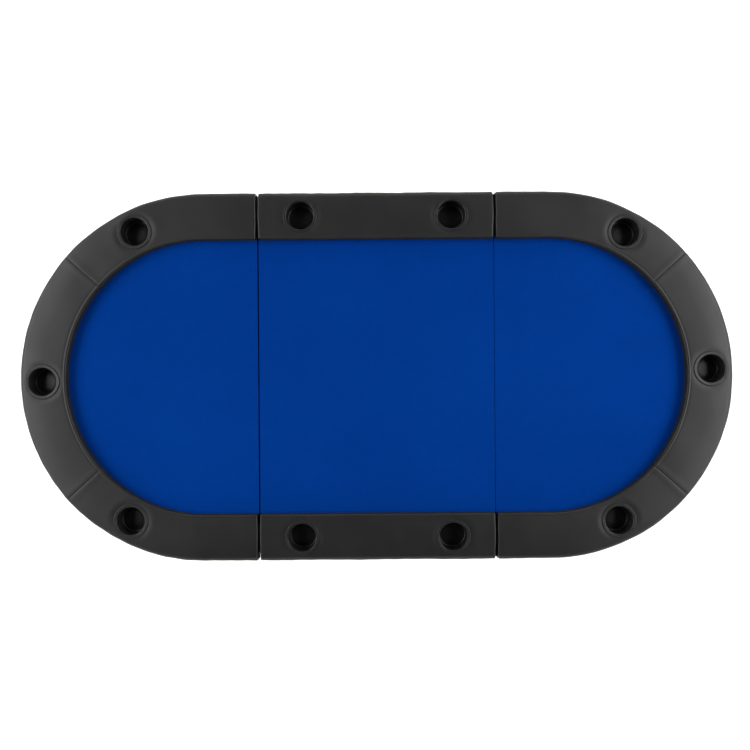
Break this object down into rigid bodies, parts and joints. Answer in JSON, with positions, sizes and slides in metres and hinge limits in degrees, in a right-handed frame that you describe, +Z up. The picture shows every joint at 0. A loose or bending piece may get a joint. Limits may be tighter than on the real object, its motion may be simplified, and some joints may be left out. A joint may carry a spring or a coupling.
{
  "type": "folding poker table",
  "caption": "Oval card table with a padded rail, cup holders and a blue cloth top, in three hinged panels on folding tube legs.",
  "frame": {"origin": "on the floor, below the centre of the table", "axes": "+X along the table's length, +Y to its rear long side, +Z up"},
  "size_m": [2.0898, 1.078, 0.7625],
  "materials": {
    "board": "plywood, lightly sealed",
    "underlay": "closed-cell foam sheet",
    "cloth": "royal blue woven polyester cloth, matt with a fine weave",
    "rail_core": "plywood",
    "rail_leatherette": "charcoal grained leatherette over foam, soft sheen",
    "cup_plastic": "black moulded plastic, satin",
    "hinge_timber": "planed softwood",
    "hinge_steel": "zinc-plated steel",
    "pin_steel": "bright steel",
    "screw_steel": "zinc-plated steel",
    "bracket_paint": "black powder coat",
    "bolt_steel": "zinc-plated steel",
    "cradle_plastic": "black moulded plastic",
    "leg_paint": "black powder coat",
    "plug_plastic": "black moulded plastic",
    "foot_rubber": "black rubber",
    "knob_plastic": "black moulded plastic"
  },
  "bodies": {
    "middle_panel": {"middle_board": "board", "middle_underlay": "underlay", "middle_cloth": "cloth", "middle_rail_cores": "rail_core", "front_rail_pad": "rail_leatherette", "rear_rail_pad": "rail_leatherette", "front_cup_holders": "cup_plastic", "rear_cup_holders": "cup_plastic", "middle_seam_strip": "hinge_timber", "middle_hinge_blocks": "hinge_timber", "middle_left_hinge_leaves": "hinge_steel", "middle_right_hinge_leaves": "hinge_steel", "left_hinge_pins": "pin_steel", "right_hinge_pins": "pin_steel", "middle_hinge_screws": "screw_steel", "middle_rail_screws": "screw_steel"},
    "left_panel": {"left_board": "board", "left_underlay": "underlay", "left_cloth": "cloth", "left_rail_core": "rail_core", "left_rail_pad": "rail_leatherette", "left_cup_holders": "cup_plastic", "left_seam_strip": "hinge_timber", "left_hinge_leaves": "hinge_steel", "left_hinge_screws": "screw_steel", "left_rail_screws": "screw_steel", "left_leg_brackets": "bracket_paint", "left_bracket_screws": "screw_steel", "left_pivot_bolts": "bolt_steel", "left_leg_cradles": "cradle_plastic"},
    "left_front_leg": {"left_front_leg_tube": "leg_paint", "left_front_leg_plug": "plug_plastic", "left_front_leg_foot": "foot_rubber"},
    "left_front_knob": {"left_front_clamp_knob": "knob_plastic"},
    "left_rear_leg": {"left_rear_leg_tube": "leg_paint", "left_rear_leg_plug": "plug_plastic", "left_rear_leg_foot": "foot_rubber"},
    "left_rear_knob": {"left_rear_clamp_knob": "knob_plastic"},
    "right_panel": {"right_board": "board", "right_underlay": "underlay", "right_cloth": "cloth", "right_rail_core": "rail_core", "right_rail_pad": "rail_leatherette", "right_cup_holders": "cup_plastic", "right_hinge_blocks": "hinge_timber", "right_hinge_leaves": "hinge_steel", "right_hinge_screws": "screw_steel", "right_rail_screws": "screw_steel", "right_leg_brackets": "bracket_paint", "right_bracket_screws": "screw_steel", "right_pivot_bolts": "bolt_steel", "right_leg_cradles": "cradle_plastic"},
    "right_front_leg": {"right_front_leg_tube": "leg_paint", "right_front_leg_plug": "plug_plastic", "right_front_leg_foot": "foot_rubber"},
    "right_front_knob": {"right_front_clamp_knob": "knob_plastic"},
    "right_rear_leg": {"right_rear_leg_tube": "leg_paint", "right_rear_leg_plug": "plug_plastic", "right_rear_leg_foot": "foot_rubber"},
    "right_rear_knob": {"right_rear_clamp_knob": "knob_plastic"}
  },
  "joints": [
    {"name": "left_fold", "type": "hinge", "parent": "middle_panel", "child": "left_panel", "pos_m": [-0.348, 0, 0.695], "axis": [0, -1, 0], "range_deg": [0, 180]},
    {"name": "right_fold", "type": "hinge", "parent": "middle_panel", "child": "right_panel", "pos_m": [0.348, 0, 0.6625], "axis": [0, 1, 0], "range_deg": [0, 180]},
    {"name": "left_front_leg_fold", "type": "hinge", "parent": "left_panel", "child": "left_front_leg", "pos_m": [-0.806, -0.362, 0.695], "axis": [1, 0, 0], "range_deg": [0, 94]},
    {"name": "left_rear_leg_fold", "type": "hinge", "parent": "left_panel", "child": "left_rear_leg", "pos_m": [-0.84, 0.362, 0.695], "axis": [-1, 0, 0], "range_deg": [0, 94]},
    {"name": "right_front_leg_fold", "type": "hinge", "parent": "right_panel", "child": "right_front_leg", "pos_m": [0.806, -0.362, 0.695], "axis": [1, 0, 0], "range_deg": [0, 94]},
    {"name": "right_rear_leg_fold", "type": "hinge", "parent": "right_panel", "child": "right_rear_leg", "pos_m": [0.84, 0.362, 0.695], "axis": [-1, 0, 0], "range_deg": [0, 94]},
    {"name": "left_front_knob_turn", "type": "hinge", "parent": "left_panel", "child": "left_front_knob", "pos_m": [-0.806, -0.362, 0.695], "axis": [1, 0, 0], "range_deg": [0, 180]},
    {"name": "left_rear_knob_turn", "type": "hinge", "parent": "left_panel", "child": "left_rear_knob", "pos_m": [-0.84, 0.362, 0.695], "axis": [-1, 0, 0], "range_deg": [0, 180]},
    {"name": "right_front_knob_turn", "type": "hinge", "parent": "right_panel", "child": "right_front_knob", "pos_m": [0.806, -0.362, 0.695], "axis": [-1, 0, 0], "range_deg": [0, 180]},
    {"name": "right_rear_knob_turn", "type": "hinge", "parent": "right_panel", "child": "right_rear_knob", "pos_m": [0.84, 0.362, 0.695], "axis": [1, 0, 0], "range_deg": [0, 180]}
  ],
  "couplings": [
    {"joint": "left_front_leg_fold", "follows": "left_fold", "ratio": 0.522},
    {"joint": "left_rear_leg_fold", "follows": "left_fold", "ratio": 0.522},
    {"joint": "right_front_leg_fold", "follows": "right_fold", "ratio": 0.522},
    {"joint": "right_rear_leg_fold", "follows": "right_fold", "ratio": 0.522}
  ]
}
